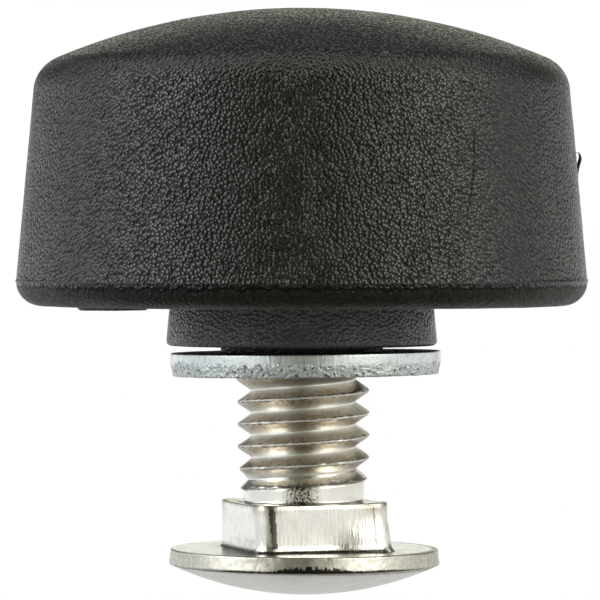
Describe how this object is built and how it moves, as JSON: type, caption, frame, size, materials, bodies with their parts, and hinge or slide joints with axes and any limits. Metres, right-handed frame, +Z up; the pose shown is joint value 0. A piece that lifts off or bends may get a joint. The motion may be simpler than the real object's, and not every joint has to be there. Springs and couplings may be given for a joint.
{
  "type": "clamping knob with carriage bolt",
  "caption": "Round domed knob that screws along a short square-neck bolt and clamps what lies between its loose washer and the bolt's low round head.",
  "frame": {"origin": "middle of the knob's dome, on the bolt's axis; the part stands on this dome, bolt head up", "axes": "+Z up the bolt's axis from the knob to the bolt head; X and Y square to the faces of the neck"},
  "size_m": [0.0254, 0.0254, 0.0262],
  "materials": {
    "knob_plastic": "black, fine pebble grain",
    "insert_brass": "turned",
    "washer_zinc": "bright zinc plate, punched edge",
    "bolt_nickel": "bright nickel plate on rolled steel"
  },
  "bodies": {
    "bolt": {"carriage_bolt": "bolt_nickel"},
    "washer": {"flat_washer": "washer_zinc"},
    "knob": {"knob": "knob_plastic", "threaded_insert": "insert_brass"}
  },
  "joints": [
    {"name": "washer_slide", "type": "slide", "parent": "bolt", "child": "washer", "axis": [0, 0, 1], "range_m": [-0.007, 0.005]},
    {"name": "knob_turn", "type": "hinge", "parent": "washer", "child": "knob", "pos_m": [0, 0, 0.01508], "axis": [0, 0, 1], "range_deg": [-2520, 1800]}
  ],
  "couplings": [
    {"joint": "washer_slide", "follows": "knob_turn", "m_per_rad": 0.00015915}
  ]
}
